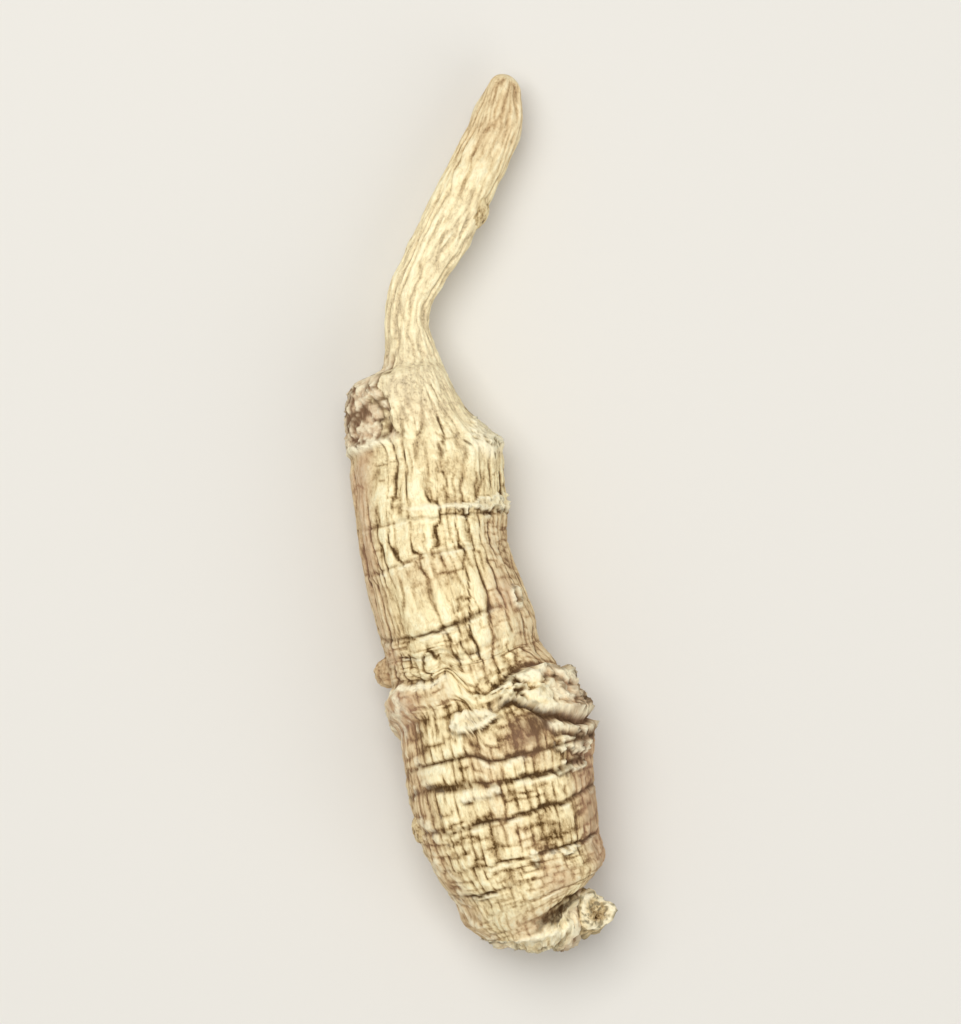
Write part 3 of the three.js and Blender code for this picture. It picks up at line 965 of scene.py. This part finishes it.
def layStub(bm, layers, stub, skin, centre):
    place, degrees, radius, length, lean, end, blush = stub
    row = int(np.argmin(np.abs(rows[:, 0] - place) + 10 * np.abs(rows[:, 1] - 1)))
    col = columnAt(math.radians(degrees))
    foot = Vector(skin[row, col])
    outward = (foot - Vector(centre[row, col])).normalized()
    turn = Vector((0, 0, 1)).rotation_difference(outward + Vector((0, 0, lean)))
    stubCols, stubRows = stubFineness
    profile = np.array(stubEnds[end])
    outline = smoothThrough(profile, np.linspace(0, len(profile) - 1, stubRows))
    outline[-1, 0] = 0.0
    outline = [(across * radius, 0.0, up * length) for across, up in outline]
    made = spinAround(bm, outline, (0, 0, 1), stubCols)

    local = np.array([vert.co[:] for vert in made])
    large, small = stubSkin["bumpSizes"]
    bumps = smoothNoise(local / large + degrees, 21) + 0.6 * smoothNoise(local / small + degrees, 22)
    coarse, fine = stubSkin["speckleSizes"]
    speckle = smoothNoise(local / coarse + degrees, 23) + smoothNoise(local / fine + degrees, 24)
    reach = np.hypot(local[:, 0], local[:, 1]) / radius
    turned = np.arctan2(local[:, 1], local[:, 0])
    height = local[:, 2] / length
    rim = smoothStep(height, 0.72, 0.98) * smoothStep(reach, 0.5, 0.8)
    tone = np.clip(0.4 + 0.3 * rim + 0.4 * bumps + 0.3 * speckle, 0.0, 1.0)
    dark = np.zeros(len(made))
    pale = np.clip(rim * (0.6 - 1.5 * speckle), 0.0, 1.0)
    swell = 1 + stubSkin["bumpsOut"] * bumps
    if end == "broken":
        spots = 0.8 * smoothStep(speckle, 0.05, 0.35) + 0.5 * (1 - smoothStep(height, 0.0, 0.3))
        dark = np.clip(spots, 0.0, 0.8)
        oval, threeSided = stubSkin["brokenSwell"]
        swell = swell + oval * np.cos(2 * turned + 1) + threeSided * np.cos(3 * turned)
    else:
        pale = stubSkin["roundedPale"] * pale
    raised = 1 + stubSkin["bumpsUp"] * bumps + stubSkin["specklesUp"] * speckle
    local = local * np.column_stack([swell, swell, raised])
    for k, vert in enumerate(made):
        vert.co = foot + turn @ Vector(local[k])
        vert[layers["tone"]] = tone[k]
        vert[layers["dark"]] = dark[k]
        vert[layers["pale"]] = pale[k]
        vert[layers["blush"]] = blush
        vert[layers["skinPlace"]] = local[k] + np.array([30.0, 0.0, place])


def makeRoot():
    skin, centre, marks = dressSkin()
    print("skin of", len(rows), "rows by", cols)
    bm = bmesh.new()
    layers = {name: bm.verts.layers.float.new(name) for name in marks}
    layers["skinPlace"] = bm.verts.layers.float_vector.new("skinPlace")
    layRoot(bm, layers, skin, marks)
    for stub in stubs.values():
        layStub(bm, layers, stub, skin, centre)
    print("side roots", ", ".join(stubs))
    spots = np.array([vert.co[:] for vert in bm.verts])
    spots[:, 2] = np.maximum(spots[:, 2], 0.0)
    low, high = spots.min(axis=0), spots.max(axis=0)
    middle = [(low[0] + high[0]) / 2, (low[1] + high[1]) / 2, low[2]]
    for vert, spot in zip(bm.verts, (spots - middle) * millimetre):
        vert.co = spot
    bmesh.ops.recalc_face_normals(bm, faces=bm.faces)
    for face in bm.faces:
        face.smooth = True
    mesh = bpy.data.meshes.new("ginsengRoot")
    bm.to_mesh(mesh)
    bm.free()
    piece = bpy.data.objects.new("ginsengRootSkin", mesh)
    bpy.context.scene.collection.objects.link(piece)
    return piece


def srgb(red, green, blue):
    def toLinear(value):
        value /= 255.0
        return value / 12.92 if value <= 0.04045 else ((value + 0.055) / 1.055) ** 2.4
    return (toLinear(red), toLinear(green), toLinear(blue), 1.0)


# colours and fineness of the dry skin
skinLook = {
    "tones": [  # from the creases to the ridges
        (0.0, srgb(88, 64, 34)),
        (0.1, srgb(134, 107, 67)),
        (0.3, srgb(196, 170, 124)),
        (0.55, srgb(233, 212, 164)),
        (0.8, srgb(250, 233, 186)),
        (1.0, srgb(255, 246, 206)),
    ],
    # colour of the dark marks: the skin's own brown and painted shade
    "brown": srgb(70, 50, 30),
    "blush": srgb(190, 148, 120),
    "blushShare": 0.6,
    "pale": srgb(255, 245, 212),
    "roughness": (0.75, 0.95),
    "gloss": 0.08,
    "fibreScale": (3.4, 3.4, 0.6),
    "crumbScale": (4.5, 4.5, 4.5),
    "hairScale": (1.9, 1.9, 0.75),
    "hairWidth": 0.02,
    "hairShade": 0.1,
    "hairDepth": 0.25,
    "mottle": 0.12,
    "bump": 0.00015,
    "bumpStrength": 0.8,
}


def makeSkinMaterial():
    material = bpy.data.materials.new("dryRootSkin")
    material.use_nodes = True
    tree = material.node_tree
    tree.nodes.clear()
    link = tree.links.new

    def node(kind, **settings):
        made = tree.nodes.new(kind)
        for name, value in settings.items():
            setattr(made, name, value)
        return made

    def attribute(name):
        return node("ShaderNodeAttribute", attribute_name=name, attribute_type="GEOMETRY")

    def mapped(scale):
        mapping = node("ShaderNodeMapping")
        mapping.inputs["Scale"].default_value = scale
        link(place.outputs["Vector"], mapping.inputs["Vector"])
        return mapping.outputs["Vector"]

    def noiseTexture(scale, detail, twist):
        made = node("ShaderNodeTexNoise")
        made.inputs["Scale"].default_value = 1.0
        made.inputs["Detail"].default_value = detail
        made.inputs["Roughness"].default_value = 0.6
        made.inputs["Distortion"].default_value = twist
        link(mapped(scale), made.inputs["Vector"])
        return made.outputs["Fac"]

    def remap(value, low, high, toLow, toHigh):
        made = node("ShaderNodeMapRange")
        made.inputs["From Min"].default_value = low
        made.inputs["From Max"].default_value = high
        made.inputs["To Min"].default_value = toLow
        made.inputs["To Max"].default_value = toHigh
        link(value, made.inputs["Value"])
        return made.outputs["Result"]

    def combine(operation, a, b, clamped=False):
        made = node("ShaderNodeMath", operation=operation, use_clamp=clamped)
        for socket, value in zip(made.inputs, (a, b)):
            if isinstance(value, float):
                socket.default_value = value
            else:
                link(value, socket)
        return made.outputs["Value"]

    def mix(factor, under, colour):
        made = node("ShaderNodeMix", data_type="RGBA", blend_type="MIX")
        link(factor, made.inputs["Factor"])
        link(under, made.inputs[6])
        made.inputs[7].default_value = colour
        return made.outputs[2]

    place = attribute("skinPlace")
    tone = attribute("tone").outputs["Fac"]
    dark = attribute("dark").outputs["Fac"]
    blush = attribute("blush").outputs["Fac"]
    pale = attribute("pale").outputs["Fac"]

    fibre = noiseTexture(skinLook["fibreScale"], 3.0, 0.6)
    crumb = noiseTexture(skinLook["crumbScale"], 3.0, 0.4)
    hairs = noiseTexture(skinLook["hairScale"], 2.0, 1.2)
    fromHair = combine("ABSOLUTE", combine("SUBTRACT", hairs, 0.5), 0.0)
    crack = remap(fromHair, 0.0, skinLook["hairWidth"], 1.0, 0.0)

    mottle = skinLook["mottle"]
    detail = combine("ADD", remap(fibre, 0.3, 0.7, -mottle, mottle), remap(crumb, 0.3, 0.7, -mottle, mottle))
    detail = combine("SUBTRACT", detail, combine("MULTIPLY", crack, skinLook["hairShade"]))
    shade = combine("ADD", tone, detail, clamped=True)
    ramp = node("ShaderNodeValToRGB")
    stops = ramp.color_ramp.elements
    while len(stops) < len(skinLook["tones"]):
        stops.new(0.5)
    for stop, (position, colour) in zip(stops, skinLook["tones"]):
        stop.position = position
        stop.color = colour
    link(shade, ramp.inputs["Fac"])
    base = mix(combine("MULTIPLY", blush, skinLook["blushShare"]), ramp.outputs["Color"], skinLook["blush"])
    base = mix(combine("MULTIPLY", pale, remap(crumb, 0.3, 0.5, 0.45, 1.0)), base, skinLook["pale"])
    # dark marks: the skin's own brown and painted shade in creases, hollows and under the flap
    base = mix(combine("MULTIPLY", dark, remap(crumb, 0.25, 0.6, 0.6, 0.95)), base, skinLook["brown"])

    relief = combine("ADD", combine("MULTIPLY", fibre, 0.5), combine("MULTIPLY", crumb, 0.5))
    relief = combine("SUBTRACT", relief, combine("MULTIPLY", crack, skinLook["hairDepth"]))
    bump = node("ShaderNodeBump")
    bump.inputs["Strength"].default_value = skinLook["bumpStrength"]
    bump.inputs["Distance"].default_value = skinLook["bump"]
    link(relief, bump.inputs["Height"])

    surface = node("ShaderNodeBsdfPrincipled")
    surface.inputs["IOR"].default_value = 1.45
    surface.inputs["Specular IOR Level"].default_value = skinLook["gloss"]
    link(base, surface.inputs["Base Color"])
    link(remap(crumb, 0.3, 0.7, *skinLook["roughness"]), surface.inputs["Roughness"])
    link(bump.outputs["Normal"], surface.inputs["Normal"])
    link(surface.outputs["BSDF"], node("ShaderNodeOutputMaterial").inputs["Surface"])
    return material


studio = {
    "floorColour": srgb(222, 219, 212),
    "floorRoughness": 0.9,
    "floorSize": 3.0,
    "cameraHeight": 0.6,
    "frameShare": 0.86,  # of the picture's height that the root fills
    # place, watts, size
    "lights": {
        "key": ((-0.09, 0.13, 0.5), 1.9, 0.35),
        "fill": ((0.3, -0.3, 0.32), 0.8, 0.5),
    },
    "roomColour": (1.0, 0.99, 0.97, 1.0),
    "roomLight": 0.45,
}


def makeFloor():
    bm = bmesh.new()
    bmesh.ops.create_grid(bm, x_segments=1, y_segments=1, size=studio["floorSize"])
    mesh = bpy.data.meshes.new("floor")
    bm.to_mesh(mesh)
    bm.free()
    floor = bpy.data.objects.new("floor", mesh)
    material = bpy.data.materials.new("paleFloor")
    material.use_nodes = True
    surface = material.node_tree.nodes["Principled BSDF"]
    surface.inputs["Base Color"].default_value = studio["floorColour"]
    surface.inputs["Roughness"].default_value = studio["floorRoughness"]
    mesh.materials.append(material)
    bpy.context.scene.collection.objects.link(floor)


def addAreaLight(name, place, watts, size):
    light = bpy.data.lights.new(name, "AREA")
    light.energy = watts
    light.size = size
    lamp = bpy.data.objects.new(name, light)
    lamp.location = place
    lamp.rotation_euler = (-Vector(place)).to_track_quat("-Z", "Y").to_euler()
    bpy.context.scene.collection.objects.link(lamp)


def setStudio(low, high):
    scene = bpy.context.scene
    makeFloor()
    for name, light in studio["lights"].items():
        addAreaLight(name, *light)
    world = bpy.data.worlds.new("softRoom")
    world.use_nodes = True
    background = world.node_tree.nodes["Background"]
    background.inputs["Color"].default_value = studio["roomColour"]
    background.inputs["Strength"].default_value = studio["roomLight"]
    scene.world = world
    scene.view_settings.view_transform = "Standard"
    camera = bpy.data.cameras.new("camera")
    eye = bpy.data.objects.new("camera", camera)
    middle = (low + high) / 2
    eye.location = (middle.x, middle.y, studio["cameraHeight"])
    distance = studio["cameraHeight"] - middle.z
    camera.lens = camera.sensor_width * distance * studio["frameShare"] / (high.y - low.y)
    scene.collection.objects.link(eye)
    scene.camera = eye


rootPiece = makeRoot()
rootPiece.data.materials.append(makeSkinMaterial())
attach(rootPiece, "root")
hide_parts("ginseng_root")
print("root dressed")
setStudio(cadLow, cadHigh)
print("studio set")
